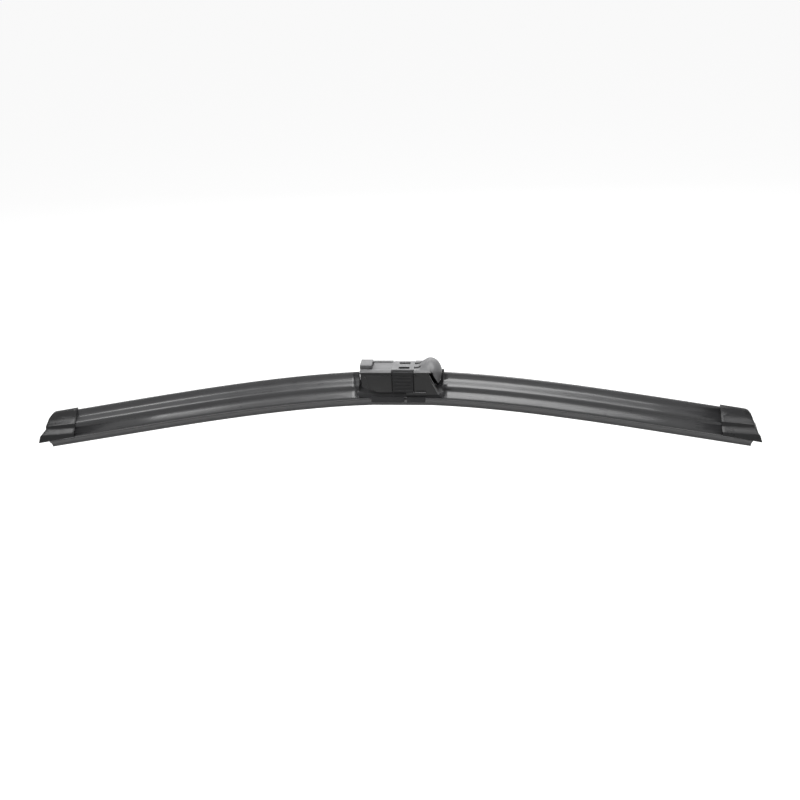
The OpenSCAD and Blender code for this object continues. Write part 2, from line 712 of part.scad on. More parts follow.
// side walls of the adapter: low at the right, higher at the left, with a groove under the rim
module side_wall(side) {
    low = -adapter_h;
    left_low = -left_wall_h;
    y = [side > 0 ? wall_in : -wall_out + panel_t, side > 0 ? wall_out - panel_t : -wall_in];
    z = [side > 0 ? wall_out - panel_t - eps : -wall_out, side > 0 ? wall_out : -wall_out + panel_t + eps];
    rib = [side > 0 ? wall_out - eps : -wall_out - rib_h, side > 0 ? wall_out + rib_h : -wall_out + eps];
    ledge = [side > 0 ? wall_out - panel_t : -wall_out - rim_out, side > 0 ? wall_out + rim_out : -wall_out + panel_t];
    left = -adapter_left;
    corner = [for (q = corner_cut) [left + q.x, left_low + q.y]];
    difference() {
        union() {
            plate_xz(concat([[left, -eps], [window_left, -eps], [window_left, left_low]], corner,
                [[left, -top_t]]), y[0], y[1]);
            plate_xz(concat([[left + 0.4, -groove_low], [window_left, -groove_low], [window_left, left_low]],
                corner), z[0], z[1]);
            plate_xz([[window_left - 1, -eps], [adapter_right, -eps], [adapter_right, -top_t + eps],
                [wall_right, -top_t], [wall_right_low, low], [window_right - 0.1, low],
                [window_right - 0.1, -window_low - 1], [window_left - 1, -top_t]], y[0], y[1]);
            plate_xz([[window_right - 0.1, -groove_low], [wall_right + edge_slant * (groove_low - top_t), -groove_low],
                [wall_right_low, low], [window_right - 0.1, low]], z[0], z[1]);
            plate_xz([[pivot_x + 2, -window_low - eps], [ledge_end, -window_low - eps],
                [ledge_end, low], [pivot_x + 2, low]], ledge[0], ledge[1]);
            plate_xz([[pivot_x + 2, -window_low - eps], [window_right, -window_low - eps],
                [window_right, low], [pivot_x + 2, low]], y[0], y[1]);
            plate_xz([[left + 2.7, -rib_top], [left + 3.6, -rib_top], [left + 5.3, -rib_low],
                [left + 4.4, -rib_low]], rib[0], rib[1]);
        }
        plate_xz([[ledge_slot, -ledge_slot_low], [ledge_end, -ledge_slot_low], [ledge_end, -window_low],
            [ledge_slot, -window_low]], side > 0 ? wall_out - panel_t : -wall_out - 1,
            side > 0 ? wall_out + 1 : -wall_out + panel_t);
        wall_bevel(side);
    }
}

// the bevel along a side wall's slanted right end
module wall_bevel(side) {
    turn = atan2(wall_right_low - wall_right, top_t - adapter_h);
    over = edge_bevel * (1 + 0.1 / panel_t);
    length = norm([wall_right_low - wall_right, adapter_h - top_t]);
    translate([wall_right, 0, -top_t]) rotate([0, turn, 0]) linear_extrude(height = length + 2)
        polygon([[over, side * (wall_out + 0.1)], [-0.05, side * (wall_out + 0.1)],
            [-0.05, side * (wall_out - panel_t * (1 + 0.05 / edge_bevel))]]);
}

// sizes of the nose at x, with its surface set in by c
function nose_tip(c) = nose_end - c;
function dome_rise(x, c) = -c + (x < dome_x
    ? let(u = max(0, x - dome_start) / (dome_x - dome_start))
        -brow_drop + (dome_h + brow_drop) * (0.03 + 0.97 * u * u * (3 - 2 * u))
    : -tip_drop + (dome_h + tip_drop)
        * pow(1 - pow((x - dome_x) / (nose_tip(c) + 0.05 - dome_x), 1.9), 1 / 1.9));
function brow(x, c) = -c - (x < adapter_right ? brow_drop
    : brow_drop + (tip_drop - brow_drop) * pow((x - adapter_right) / (nose_end - adapter_right), 1.2));
function nose_half(x, c) = (wall_out - c) * (x < adapter_right ? 1
    : sqrt(1 - pow((x - adapter_right) / (nose_tip(c) + 0.1 - adapter_right), 2.2)));
function chin(x, c) = x < chin_x ? -nose_low - 2 * c
    : -tip_drop - c / 2 - (nose_low - tip_drop + 1.5 * c) * sqrt(1 - pow((x - chin_x) / (nose_tip(c) + 0.05 - chin_x), 2));
// the nose's section at x: a soft hump on the top, a round arch beyond the rims
function arch(x, c) = let(w = nose_half(x, c), h = dome_rise(x, c), b = brow(x, c),
    m = min(1, max(0, (x - adapter_right) / 2.5)), p = 3 - m, q = 1.2 - 0.7 * m)
    [for (a = [90:-180 / arch_points:-90]) [w * sin(a), b + (h - b) * pow(1 - pow(abs(sin(a)), p), q)]];
function nose_ring(x, c) = let(w = nose_half(x, c)) concat([[-w, chin(x, c)], [w, chin(x, c)]], arch(x, c));

// the dome and the nose under it, as one skin; c sets it in for the hollow
module nose_solid(c) {
    x0 = shell_start + c;
    xs = [for (k = [0:nose_rings]) x0 + (nose_tip(c) - x0) * (1 - pow(1 - k / nose_rings, 1.7))];
    skin([for (x = xs) [for (q = nose_ring(x, c)) [x, q.x, q.y]]], nose_ring(x0, c));
}

// the dome's foot on the top, up to where the nose's shell starts
module dome_foot() {
    step = (shell_start - dome_start) / foot_rings;
    skin([for (x = [dome_start:step:shell_start + eps]) [for (q = arch(x, 0)) [x, q.x, q.y]]], arch(shell_start, 0));
}

// slanted gap between a side wall and the nose, from the rim down
module nose_slot(side) {
    deep = nose_low + 2 * nose_t + 0.2;
    up = 0.2;
    function edge_x(z) = wall_right + edge_slant * (-top_t - z) + fit_play;
    y = [side > 0 ? wall_in - 2.4 : -adapter_w, side > 0 ? adapter_w : -wall_in + 2.4];
    plate_xz([[adapter_right + fit_play, up], [edge_x(up) + nose_gap, up], [edge_x(-deep) + nose_gap, -deep],
        [edge_x(-deep), -deep], [edge_x(-top_t), -top_t - fit_play], [adapter_right + fit_play, -top_t - fit_play]],
        y[0], y[1]);
}

module adapter_body() {
    color([0.62, 0.62, 0.64]) difference() {
        union() {
            top_plate();
            side_wall(-1);
            side_wall(1);
            nose_solid(0);
            dome_foot();
            across(barrel_r, -barrel_half, barrel_half);
            span([pivot_x - barrel_r, -barrel_half, pivot_z], [pivot_x + barrel_r, barrel_half, -top_t + 0.1]);
            tongue();
        }
        // bore of the barrel
        across(bush_d / 2 + fit_play, -barrel_half - 1, barrel_half + 1);
        // hollow of the nose
        difference() {
            nose_solid(nose_t);
            span([0, -adapter_w, -top_t], [adapter_right - 2, adapter_w, 0]);
        }
        nose_slot(-1);
        nose_slot(1);
        // windows of the buttons, and the notches that their upper lips slide into
        for (side = [-1, 1]) {
            span([window_left, side > 0 ? wall_in - 0.1 : -adapter_w, -window_low],
                [window_right, side > 0 ? adapter_w : -wall_in + 0.1, -top_t + 0.1]);
            span([window_left, side > 0 ? notch_in : -adapter_w, -top_t - 0.5],
                [window_right, side > 0 ? adapter_w : -notch_in, 1]);
        }
        // spring pockets
        for (side = [-1, 1])
            translate([pivot_x, side * barrel_half, spring_z]) rotate([side * 90, 0, 0])
                translate([0, 0, -0.5]) cylinder(d = spring_d + 0.4, h = pocket_l + 0.5);
        // slots through the top
        for (side = [-1, 1]) {
            span([slot_x, side * slot_y - slot_w / 2, -top_t - 1], [slot_x + slot_long, side * slot_y + slot_w / 2, slot_clear]);
            span([slot_x + slot_long + 2.8, side * slot_y * 0.9 - slot_w * 0.45, -top_t - 1],
                [slot_x + slot_long + 2.8 + slot_short, side * slot_y * 0.9 + slot_w * 0.45, slot_clear]);
        }
        // gap round the thumb block and the tongue
        tongue_gap();
    }
}

// top plate with bevels along both rims
module top_plate() {
    h = adapter_w / 2;
    translate([-adapter_left, 0, 0]) rotate([90, 0, 90])
        linear_extrude(height = adapter_left + adapter_right)
            polygon([[-h, -top_t], [h, -top_t], [h, -rim_bevel], [h - rim_bevel, 0],
                [-h + rim_bevel, 0], [-h, -rim_bevel]]);
}

module tongue_gap() {
    block_end = -adapter_left - 0.3 + block_l;
    difference() {
        union() {
            span([-adapter_left - 1, -tongue_w / 2 - slit_w, -top_t - 1], [tongue_root, tongue_w / 2 + slit_w, 1]);
            span([-adapter_left - 1, -tongue_w / 2 - slit_w, 0], [block_end + 1, tongue_w / 2 + slit_w, block_h + 1]);
        }
        span([block_end + 0.5, -tongue_w / 2, -top_t - 2], [tongue_root + 1, tongue_w / 2, -tongue_drop]);
        tongue();
    }
}

module tongue() {
    x0 = -adapter_left - 0.3;
    block_end = x0 + block_l;
    span([x0, -block_w / 2, -tongue_drop], [block_end, block_w / 2, block_h]);
    span([x0, -block_w / 2, -top_t - 0.2], [block_end - 0.1, block_w / 2, -tongue_drop]);
    span([x0 + 1, -block_w / 2, -top_t - 0.2], [block_end + 1.5, block_w / 2, -1.3]);
    span([block_end + 1, -tongue_w / 2, -top_t], [tongue_root + 0.5, tongue_w / 2, -tongue_drop]);
}

module button(side) {
    outer = adapter_w / 2;
    inner = button_inner;
    module slab(x0, x1, z0, z1, y0, y1) {
        span([x0, side > 0 ? y0 : -y1, z0], [x1, side > 0 ? y1 : -y0, z1]);
    }
    x0 = window_left + button_gap;
    x1 = window_right - button_gap;
    foot = -window_low + button_play;
    slab(x0, x1, foot, -top_t - 0.4, inner, outer - grip_h);
    slab(x0, x1, -top_t - 1.4, -top_t - 0.4, inner, outer);
    slab(x0, x1, -top_t - 1.4, -0.9, outer - button_lip, outer);
    slab(x0, x1, foot, foot + 1.4, inner, outer);
    for (i = [0:3])
        slab(x0 + 1.2, x1 - 1.2, -5.2 - i * 2.4, -4 - i * 2.4, outer - grip_h - eps, outer);
    slab(window_left - 1.2, window_right + 1.2, -window_low + 0.8, -top_t - 1.4, inner, inner + flange_t);
    translate([pivot_x, side * (inner + eps), spring_z]) rotate([side * 90, 0, 0])
        cylinder(d = spring_d - 2 * wire_d - 0.4, h = 1.6);
}

module side_button_front() {
    color([0.15, 0.15, 0.16]) button(-1);
}

module side_button_rear() {
    color([0.15, 0.15, 0.16]) button(1);
}

// coil spring from the pocket's floor to the button's inner face
module button_spring(side) {
    coil_r = (spring_d - wire_d) / 2;
    y0 = barrel_half - pocket_l + wire_d / 2 + fit_play;
    y1 = button_inner - wire_d / 2 - fit_play;
    per_turn = 12;
    count = spring_turns * per_turn;
    points = [for (k = [0:count]) let(a = k * 360 / per_turn, u = k / count)
        [for (j = [0:5]) let(b = j * 60, r = coil_r + wire_d / 2 * cos(b))
            [pivot_x + r * cos(a), side * (y0 + (y1 - y0) * u + wire_d / 2 * sin(b)), spring_z + r * sin(a)]]];
    ring = [for (j = [0:5]) [-side * cos(j * 60), sin(j * 60)]];
    turned = side > 0 ? [for (p = points) [for (j = [5:-1:0]) p[j]]] : points;
    skin(turned, [for (j = [0:5]) [cos(j * 60), sin(j * 60)]]);
}

module button_spring_front() {
    color("silver") button_spring(-1);
}

module button_spring_rear() {
    color("silver") button_spring(1);
}

adapter_body();
side_button_front();
side_button_rear();
button_spring_front();
button_spring_rear();
pivot_bush();
pivot_pin();
base_bracket();
base_cover();
rail_front();
rail_rear();
rail_bridge_left();
rail_bridge_right();
wiping_rubber();
spoiler_left();
spoiler_right();
end_cap_left();
end_cap_right();
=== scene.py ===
import math
import bpy
from mathutils import Matrix, Vector


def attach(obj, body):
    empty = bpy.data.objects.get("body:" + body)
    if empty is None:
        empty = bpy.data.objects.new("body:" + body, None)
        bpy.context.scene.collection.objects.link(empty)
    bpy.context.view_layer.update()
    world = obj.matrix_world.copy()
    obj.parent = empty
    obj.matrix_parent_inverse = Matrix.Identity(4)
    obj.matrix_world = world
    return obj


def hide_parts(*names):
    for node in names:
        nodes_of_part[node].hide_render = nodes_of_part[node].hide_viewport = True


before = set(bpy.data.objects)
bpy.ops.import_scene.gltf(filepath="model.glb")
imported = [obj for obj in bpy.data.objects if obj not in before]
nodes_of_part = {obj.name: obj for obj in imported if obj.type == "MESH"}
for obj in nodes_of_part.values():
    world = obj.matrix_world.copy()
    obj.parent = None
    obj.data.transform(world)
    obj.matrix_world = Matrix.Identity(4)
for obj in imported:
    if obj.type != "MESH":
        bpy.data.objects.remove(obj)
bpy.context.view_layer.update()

MM = 0.001

# The blade's curve, as the part has it: arms, flat middle, curvature and the crest's level
LEFT_LENGTH = 257.0
RIGHT_LENGTH = 239.0
FLAT_HALF = 20.0
MIDDLE_CURVATURE = 0.0021
CREST_DROP = 5.4
CURVE_STEP = 1.0
CURVE_BEYOND = 12.0

# Joining up a solid's faces: distance in mm and angle in degrees
WELD = 0.002
FLAT_ANGLE = 0.3

# The adapter's flat sides that take painted shade: below this height in mm, and facing this squarely to
# front or rear
SIDE_TOP = -1.2
SIDE_FACING = 0.97


# Working with meshes

def only(piece):
    """Leaves this piece as the only selected and active object."""
    bpy.ops.object.select_all(action="DESELECT")
    piece.select_set(True)
    bpy.context.view_layer.objects.active = piece


def apply_all(piece):
    """Applies the piece's modifiers."""
    only(piece)
    for modifier in list(piece.modifiers):
        bpy.ops.object.modifier_apply(modifier=modifier.name)


def finished_copy(node, name):
    """A merged copy of a part's solid, with its flat faces joined up again."""
    source = nodes_of_part[node]
    piece = bpy.data.objects.new(name, source.data.copy())
    bpy.context.scene.collection.objects.link(piece)
    only(piece)
    bpy.ops.object.mode_set(mode="EDIT")
    bpy.ops.mesh.select_all(action="SELECT")
    bpy.ops.mesh.remove_doubles(threshold=WELD * MM)
    bpy.ops.mesh.dissolve_limited(angle_limit=math.radians(FLAT_ANGLE))
    bpy.ops.object.mode_set(mode="OBJECT")
    return piece


def round_edges(piece, width, angle):
    """Rounds the edges sharper than the angle, as a mould leaves them."""
    bevel = piece.modifiers.new("rounding", "BEVEL")
    bevel.width = width * MM
    bevel.segments = 2
    bevel.limit_method = "ANGLE"
    bevel.angle_limit = math.radians(angle)
    bevel.use_clamp_overlap = True
    apply_all(piece)


def smooth(piece, angle):
    """Shades the piece smooth across edges flatter than the angle."""
    only(piece)
    bpy.ops.object.shade_smooth_by_angle(angle=math.radians(angle))


def place(piece, body, material, node):
    """Gives a piece its body and its finish, and hides the solid it stands for."""
    piece.data.materials.clear()
    piece.data.materials.append(material)
    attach(piece, body)
    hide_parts(node)


# The blade's own space: distance along the curve, across it, and above the crest

def slope_at(distance, arm_length):
    """The crest's fall, in radians, at a distance from the middle; the bend fades towards the tip."""
    if distance < FLAT_HALF:
        return 0.0
    share = min(1.0, distance / arm_length)
    return MIDDLE_CURVATURE * arm_length / 3.0 * (1.0 - (1.0 - share) ** 3)


def walk_curve():
    """Points along the crest: distance, x, z and slope."""
    points = set()
    for direction, arm_length in ((-1, LEFT_LENGTH), (1, RIGHT_LENGTH)):
        x, z, distance = 0.0, -CREST_DROP, 0.0
        while distance < arm_length + CURVE_BEYOND:
            slope = slope_at(distance, arm_length)
            points.add((direction * distance, direction * x, z, direction * slope))
            x += CURVE_STEP * math.cos(slope)
            z -= CURVE_STEP * math.sin(slope)
            distance += CURVE_STEP
    return sorted(points)


CURVE = walk_curve()


def from_curve_point(point, x, z):
    """How far a point in the side view lies ahead of a point of the curve, and above it."""
    curve_x, curve_z, slope = point[1:]
    ahead = (x - curve_x) * math.cos(slope) - (z - curve_z) * math.sin(slope)
    above = (x - curve_x) * math.sin(slope) + (z - curve_z) * math.cos(slope)
    return ahead, above


def blade_place(x, z):
    """Distance along the curve and height above the crest, in mm, of a point in the side view."""
    low, high = 0, len(CURVE) - 1
    while high - low > 1:
        middle = (low + high) // 2
        if from_curve_point(CURVE[middle], x, z)[0] > 0:
            low = middle
        else:
            high = middle
    ahead, above = from_curve_point(CURVE[low], x, z)
    return CURVE[low][0] + ahead, above


def mark_blade_space(piece):
    """Stores each point's place in the blade's own space, for grain that follows the curve."""
    mesh = piece.data
    marks = mesh.attributes.new("blade_space", "FLOAT_VECTOR", "POINT")
    for vertex, mark in zip(mesh.vertices, marks.data):
        along, above = blade_place(vertex.co.x / MM, vertex.co.z / MM)
        mark.vector = (along * MM, vertex.co.y, above * MM)


# Small helpers for shader nodes

def new_group(name, inputs, outputs):
    """An empty shader group with its sockets; gives back what is needed to fill it."""
    group = bpy.data.node_groups.new(name, "ShaderNodeTree")
    for label, kind, value in inputs:
        socket = group.interface.new_socket(name=label, in_out="INPUT", socket_type=kind)
        if value is not None:
            socket.default_value = value
    for label, kind in outputs:
        group.interface.new_socket(name=label, in_out="OUTPUT", socket_type=kind)
    start = group.nodes.new("NodeGroupInput")
    end = group.nodes.new("NodeGroupOutput")
    return group, group.nodes, group.links, start.outputs, end.inputs


def math_node(nodes, links, operation, first, second):
    """A sum, product or the like of two numbers or sockets."""
    node = nodes.new("ShaderNodeMath")
    node.operation = operation
    for socket, value in zip(node.inputs, (first, second)):
        if isinstance(value, (int, float)):
            socket.default_value = value
        else:
            links.new(value, socket)
    return node.outputs["Value"]


def noise(nodes, links, vector, scale, detail, rough=0.5):
    """Noise of a size that is a number or a socket."""
    node = nodes.new("ShaderNodeTexNoise")
    node.inputs["Detail"].default_value = detail
    node.inputs["Roughness"].default_value = rough
    links.new(vector, node.inputs["Vector"])
    if isinstance(scale, (int, float)):
        node.inputs["Scale"].default_value = scale
    else:
        links.new(scale, node.inputs["Scale"])
    return node.outputs["Fac"]


def centred(nodes, links, value):
    """A noise value moved to lie around zero."""
    return math_node(nodes, links, "SUBTRACT", value, 0.5)


def shaded(nodes, links, colour, amount):
    """The colour times one plus an amount that changes over the surface."""
    node = nodes.new("ShaderNodeVectorMath")
    node.operation = "SCALE"
    links.new(colour, node.inputs[0])
    links.new(math_node(nodes, links, "ADD", amount, 1.0), node.inputs["Scale"])
    return node.outputs["Vector"]


def uneven_gloss(nodes, links, start, change):
    """The roughness with the group's uneven share of a change added."""
    uneven = math_node(nodes, links, "MULTIPLY", change, start["Uneven"])
    return math_node(nodes, links, "ADD", start["Roughness"], uneven)


def grain_normal(nodes, links, depth, height):
    """The surface's direction over a fine relief."""
    bump = nodes.new("ShaderNodeBump")
    bump.inputs["Strength"].default_value = 1.0
    links.new(depth, bump.inputs["Distance"])
    links.new(height, bump.inputs["Height"])
    return bump.outputs["Normal"]


# Shader groups that several finishes share

SURFACE_INPUTS = (
    ("Vector", "NodeSocketVector", None),
    ("Colour", "NodeSocketColor", (0.1, 0.1, 0.1, 1.0)),
    ("Cloud", "NodeSocketFloat", 0.2),
    ("Roughness", "NodeSocketFloat", 0.5),
    ("Uneven", "NodeSocketFloat", 0.1))
SURFACE_OUTPUTS = (
    ("Colour", "NodeSocketColor"),
    ("Roughness", "NodeSocketFloat"),
    ("Normal", "NodeSocketVector"))

# Moulded plastic: the grain's share in the tone
SPARK_SHARE = 0.5

# Drawn stock: how far its lines are drawn out, the size of its clouds and of its fine grain
LINE_STRETCH = 0.012
DRAWN_CLOUD_SIZE = 60.0
DRAWN_GRAIN_SIZE = 4200.0
DRAWN_GRAIN_SHARE = 0.4


def make_moulded_group():
    """Moulded plastic: a fine spark grain, soft clouds in tone and uneven gloss."""
    group, nodes, links, start, end = new_group("moulded_surface", SURFACE_INPUTS + (
        ("Cloud Size", "NodeSocketFloat", 120.0),
        ("Grain Size", "NodeSocketFloat", 5000.0),
        ("Grain Depth", "NodeSocketFloat", 0.00002)), SURFACE_OUTPUTS)
    cloud = centred(nodes, links, noise(nodes, links, start["Vector"], start["Cloud Size"], 3.0))
    grain = noise(nodes, links, start["Vector"], start["Grain Size"], 2.0)
    spark = math_node(nodes, links, "MULTIPLY", centred(nodes, links, grain), SPARK_SHARE)
    mottle = math_node(nodes, links, "ADD", cloud, spark)
    tone = math_node(nodes, links, "MULTIPLY", mottle, start["Cloud"])
    links.new(shaded(nodes, links, start["Colour"], tone), end["Colour"])
    links.new(uneven_gloss(nodes, links, start, cloud), end["Roughness"])
    links.new(grain_normal(nodes, links, start["Grain Depth"], grain), end["Normal"])
    return group


def drawn_out(nodes, links, vector):
    """A place squeezed along the blade, so that noise turns into long lines there."""
    stretch = nodes.new("ShaderNodeVectorMath")
    stretch.operation = "MULTIPLY"
    stretch.inputs[1].default_value = (LINE_STRETCH, 1.0, 1.0)
    links.new(vector, stretch.inputs[0])
    return stretch.outputs["Vector"]


def make_drawn_group():
    """Drawn or extruded stock: faint lines along the blade, with soft clouds."""
    group, nodes, links, start, end = new_group("drawn_surface", SURFACE_INPUTS + (
        ("Lines", "NodeSocketFloat", 0.1),
        ("Line Size", "NodeSocketFloat", 1500.0),
        ("Line Depth", "NodeSocketFloat", 0.00002)), SURFACE_OUTPUTS)
    along = drawn_out(nodes, links, start["Vector"])
    lines = centred(nodes, links, noise(nodes, links, along, start["Line Size"], 3.0, 0.6))
    cloud = centred(nodes, links, noise(nodes, links, start["Vector"], DRAWN_CLOUD_SIZE, 3.0))
    fine = noise(nodes, links, start["Vector"], DRAWN_GRAIN_SIZE, 1.0)
    tone = math_node(nodes, links, "ADD",
        math_node(nodes, links, "MULTIPLY", lines, start["Lines"]),
        math_node(nodes, links, "MULTIPLY", cloud, start["Cloud"]))
    links.new(shaded(nodes, links, start["Colour"], tone), end["Colour"])
    change = math_node(nodes, links, "ADD", lines, cloud)
    links.new(uneven_gloss(nodes, links, start, change), end["Roughness"])
    grain = math_node(nodes, links, "MULTIPLY", fine, DRAWN_GRAIN_SHARE)
    height = math_node(nodes, links, "ADD", lines, grain)
    links.new(grain_normal(nodes, links, start["Line Depth"], height), end["Normal"])
    return group


def make_side_shade_group():
    """A moulding's colour with painted shade: darker on the marked flat sides that face front or rear."""
    group, nodes, links, start, end = new_group("painted_side_shade", (
        ("Colour", "NodeSocketColor", (0.1, 0.1, 0.1, 1.0)),
        ("Side", "NodeSocketFloat", 0.0),
        ("Side Shade", "NodeSocketFloat", 0.3)), (
        ("Colour", "NodeSocketColor"),))
    loss = math_node(nodes, links, "SUBTRACT", start["Side Shade"], 1.0)
    change = math_node(nodes, links, "MULTIPLY", loss, start["Side"])
    links.new(shaded(nodes, links, start["Colour"], change), end["Colour"])
    return group


MOULDED = make_moulded_group()
DRAWN = make_drawn_group()
SIDE_SHADE_GROUP = make_side_shade_group()


# Finishes

def pattern_place(nodes, attribute):
    """Where a pattern reads its place: a mark on the mesh, or else the object's own space."""
    if attribute:
        mark = nodes.new("ShaderNodeAttribute")
        mark.attribute_name = attribute
        return mark.outputs["Vector"]
    return nodes.new("ShaderNodeTexCoord").outputs["Object"]


def paint_side_shade(nodes, links, colour, painted_side_shade):
    """The colour, taken down by painted shade on the adapter's marked flat sides."""
    sides = nodes.new("ShaderNodeGroup")
    sides.node_tree = SIDE_SHADE_GROUP
    sides.inputs["Side Shade"].default_value = painted_side_shade
    mark = nodes.new("ShaderNodeAttribute")
    mark.attribute_name = "painted_shade_side"
    links.new(mark.outputs["Fac"], sides.inputs["Side"])
    links.new(colour, sides.inputs["Colour"])
    return sides.outputs["Colour"]


def finish(name, group, colour, settings, metallic=0.0, specular=0.5, attribute=None, painted_side_shade=None):
    """A material whose colour, gloss and grain come from a shared group."""
    material = bpy.data.materials.new(name)
    material.use_nodes = True
    nodes, links = material.node_tree.nodes, material.node_tree.links
    shader = nodes["Principled BSDF"]
    shader.inputs["Metallic"].default_value = metallic
    shader.inputs["Specular IOR Level"].default_value = specular
    surface = nodes.new("ShaderNodeGroup")
    surface.node_tree = group
    surface.inputs["Colour"].default_value = (*colour, 1.0)
    for label, value in settings.items():
        surface.inputs[label].default_value = value
    links.new(pattern_place(nodes, attribute), surface.inputs["Vector"])
    tone = surface.outputs["Colour"]
    # Painted shade: the adapter's front- and rear-facing flat sides are darkened in colour
    if painted_side_shade:
        tone = paint_side_shade(nodes, links, tone, painted_side_shade)
    links.new(tone, shader.inputs["Base Color"])
    links.new(surface.outputs["Roughness"], shader.inputs["Roughness"])
    links.new(surface.outputs["Normal"], shader.inputs["Normal"])
    return material


def plastic_finishes():
    return {
        # The adapter's flat sides carry painted shade, at 0.12 of the colour
        "adapter": finish("adapter_plastic", MOULDED, (0.085, 0.085, 0.087),
            {"Cloud": 0.25, "Cloud Size": 160.0, "Grain Size": 3200.0, "Grain Depth": 0.00003,
             "Roughness": 0.45, "Uneven": 0.16}, specular=0.3, painted_side_shade=0.12),
        "button": finish("button_plastic", MOULDED, (0.01, 0.01, 0.0105),
            {"Cloud": 1.6, "Cloud Size": 420.0, "Grain Size": 1500.0, "Grain Depth": 0.00012,
             "Roughness": 0.6, "Uneven": 0.5}, specular=0.22),
        "cover": finish("cover_plastic", MOULDED, (0.022, 0.022, 0.023),
            {"Cloud": 0.3, "Cloud Size": 200.0, "Grain Size": 3000.0, "Grain Depth": 0.00003,
             "Roughness": 0.5, "Uneven": 0.15}, specular=0.2),
        "cap": finish("cap_plastic", MOULDED, (0.012, 0.012, 0.0125),
            {"Cloud": 0.3, "Cloud Size": 130.0, "Grain Size": 2600.0, "Grain Depth": 0.00004,
             "Roughness": 0.3, "Uneven": 0.2}, specular=0.2),
        "bush": finish("bush_plastic", MOULDED, (0.72, 0.7, 0.64),
            {"Cloud": 0.1, "Cloud Size": 300.0, "Grain Size": 4000.0, "Grain Depth": 0.00001,
             "Roughness": 0.4, "Uneven": 0.1}),
    }


def rubber_finishes():
    return {
        "spoiler": finish("spoiler_rubber", DRAWN, (0.026, 0.026, 0.027),
            {"Cloud": 0.25, "Lines": 0.35, "Line Size": 900.0, "Line Depth": 0.00004,
             "Roughness": 0.3, "Uneven": 0.12}, specular=0.4, attribute="blade_space"),
        "rubber": finish("wiper_rubber", DRAWN, (0.13, 0.13, 0.132),
            {"Cloud": 0.3, "Lines": 0.5, "Line Size": 1500.0, "Line Depth": 0.00003,
             "Roughness": 0.66, "Uneven": 0.15}, specular=0.4, attribute="blade_space"),
    }


def steel_finishes():
    return {
        "painted": finish("painted_steel", MOULDED, (0.035, 0.035, 0.037),
            {"Cloud": 0.2, "Cloud Size": 90.0, "Grain Size": 900.0, "Grain Depth": 0.00003,
             "Roughness": 0.38, "Uneven": 0.1}),
        "rail": finish("rail_steel", DRAWN, (0.12, 0.12, 0.123),
            {"Cloud": 0.2, "Lines": 0.5, "Line Size": 2500.0, "Line Depth": 0.00001,
             "Roughness": 0.42, "Uneven": 0.12}, metallic=0.8, attribute="blade_space"),
        "bright": finish("bright_steel", MOULDED, (0.48, 0.48, 0.5),
            {"Cloud": 0.2, "Cloud Size": 300.0, "Grain Size": 4200.0, "Grain Depth": 0.00001,
             "Roughness": 0.3, "Uneven": 0.15}, metallic=1.0),
    }


FINISH = {**plastic_finishes(), **rubber_finishes(), **steel_finishes()}


# The blade's long pieces

def make_long_piece(node, name, material, smooth_angle):
    """A swept piece with its facets smoothed and grain laid along the curve."""
    piece = finished_copy(node, name)
    smooth(piece, smooth_angle)
    mark_blade_space(piece)
    place(piece, "blade", material, node)


def make_blade():
    for side in ("left", "right"):
        node = "spoiler_" + side
        make_long_piece(node, node + "_skin", FINISH["spoiler"], 42.0)
    make_long_piece("wiping_rubber", "wiping_rubber_profile", FINISH["rubber"], 30.0)
    for side in ("front", "rear"):
        node = "rail_" + side
        make_long_piece(node, node + "_strip", FINISH["rail"], 30.0)


# Mouldings: end caps, adapter, buttons and cover

def make_moulding(node, name, rounding, round_angle, smooth_angle):
    """A copy of a solid with a moulding's edges, rounded by a width in mm."""
    piece = finished_copy(node, name)
    round_edges(piece, rounding, round_angle)
    smooth(piece, smooth_angle)
    return piece


def make_cap(side):
    node = "end_cap_" + side
    piece = make_moulding(node, node + "_shell", rounding=0.25, round_angle=38.0, smooth_angle=45.0)
    place(piece, "blade", FINISH["cap"], node)


def mark_shaded_sides(piece):
    """Marks the faces of the flat sides below the rims, which get painted shade."""
    mesh = piece.data
    marks = mesh.attributes.new("painted_shade_side", "FLOAT", "FACE")
    for face, mark in zip(mesh.polygons, marks.data):
        below = face.center.z < SIDE_TOP * MM
        mark.value = 1.0 if below and abs(face.normal.y) > SIDE_FACING else 0.0


def make_adapter():
    node = "adapter_body"
    piece = make_moulding(node, "adapter_moulding", rounding=0.16, round_angle=35.0, smooth_angle=40.0)
    mark_shaded_sides(piece)
    place(piece, "adapter", FINISH["adapter"], node)


def make_button(side):
    node = "side_button_" + side
    piece = make_moulding(node, node + "_cap", rounding=0.15, round_angle=35.0, smooth_angle=40.0)
    place(piece, "button_" + side, FINISH["button"], node)


def make_cover():
    node = "base_cover"
    piece = make_moulding(node, "base_cover_moulding", rounding=0.12, round_angle=40.0, smooth_angle=40.0)
    place(piece, "blade", FINISH["cover"], node)


def dress_plain_nodes():
    """Small hidden pieces keep the part's own shape and get their finish."""
    wanted = {
        "base_bracket": "painted", "pivot_pin": "bright", "pivot_bush": "bush",
        "button_spring_front": "bright", "button_spring_rear": "bright",
        "rail_bridge_left": "bright", "rail_bridge_right": "bright"}
    for node, key in wanted.items():
        for slot in nodes_of_part[node].material_slots:
            slot.material = FINISH[key]


# Camera, floor and light, in metres and degrees

CAMERA_ELEVATION = 24.0
CAMERA_YAW = 6.39
CAMERA_ROLL = -2.38
CAMERA_DISTANCE = 0.80
CAMERA_TARGET = (-0.0013, 0.0, -0.0249)
CAMERA_LENS = 54.05

FILL_LIGHT = 0.14
FLOOR_COLOUR = 0.32
FLOOR_GLOW = 0.9
FLOOR_SIZE = 30.0
FLOOR_CENTRE = (0.0, 6.0, -0.16)
WHITE = (1.0, 1.0, 1.0, 1.0)


